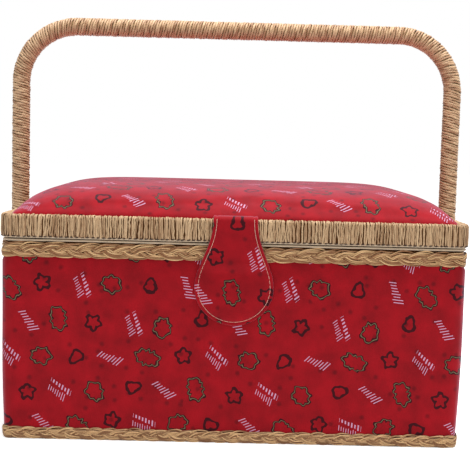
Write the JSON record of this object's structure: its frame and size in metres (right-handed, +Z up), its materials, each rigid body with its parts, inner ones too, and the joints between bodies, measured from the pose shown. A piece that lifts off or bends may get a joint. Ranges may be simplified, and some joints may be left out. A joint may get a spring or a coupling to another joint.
{
  "type": "sewing box",
  "caption": "Cloth covered sewing carrier with a padded hinged lid, a closing tab, straw braids and a wound bail handle.",
  "frame": {"origin": "centre of the base, on the surface that the carrier stands on", "axes": "+X to the right along the lid, +Y to the back where the hinges are, +Z up; the closing tab faces -Y"},
  "size_m": [0.335, 0.2376, 0.284],
  "materials": {
    "printed_cloth": "matt printed cotton",
    "lining_cloth": "matt woven cotton",
    "binding": "matt woven tape",
    "straw_braid": "plaited natural straw",
    "straw_winding": "wound natural straw",
    "board": "raw board",
    "rod_wood": "raw bent wood",
    "steel": "bright plated"
  },
  "bodies": {
    "case": {"foot_sheet": "lining_cloth", "base_board": "board", "front_board": "board", "back_board": "board", "left_board": "board", "right_board": "board", "case_cloth": "printed_cloth", "side_lining": "lining_cloth", "base_lining": "lining_cloth", "case_binding": "binding", "top_braid": "straw_braid", "base_braid": "straw_braid", "magnet_plate": "steel", "pivot_bolts": "steel", "pivot_bushes": "steel", "pivot_tee_nuts": "steel", "hinge_leaves_case": "steel", "hinge_pins": "steel", "hinge_screws_case": "steel"},
    "lid": {"lid_frame": "board", "lid_winding": "straw_winding", "lid_hem": "binding", "lid_board": "board", "lid_lining": "lining_cloth", "lid_cushion": "printed_cloth", "hinge_leaves_lid": "steel", "hinge_screws_lid": "steel"},
    "tab": {"tab_cloth": "printed_cloth", "tab_magnet": "steel"},
    "handle": {"handle_rod": "rod_wood", "handle_winding": "straw_winding"}
  },
  "joints": [
    {"name": "lid_hinge", "type": "hinge", "parent": "case", "child": "lid", "pos_m": [0, 0.1174, 0.1318], "axis": [-1, 0, 0], "range_deg": [0, 100]},
    {"name": "tab_flap", "type": "hinge", "parent": "lid", "child": "tab", "pos_m": [0, -0.1112, 0.14955], "axis": [-1, 0, 0], "range_deg": [0, 110]},
    {"name": "handle_swing", "type": "hinge", "parent": "case", "child": "handle", "pos_m": [0, 0, 0.105], "axis": [-1, 0, 0], "range_deg": [0, 90]}
  ],
  "couplings": [
    {"joint": "handle_swing", "follows": "lid_hinge", "ratio": 0.9}
  ]
}
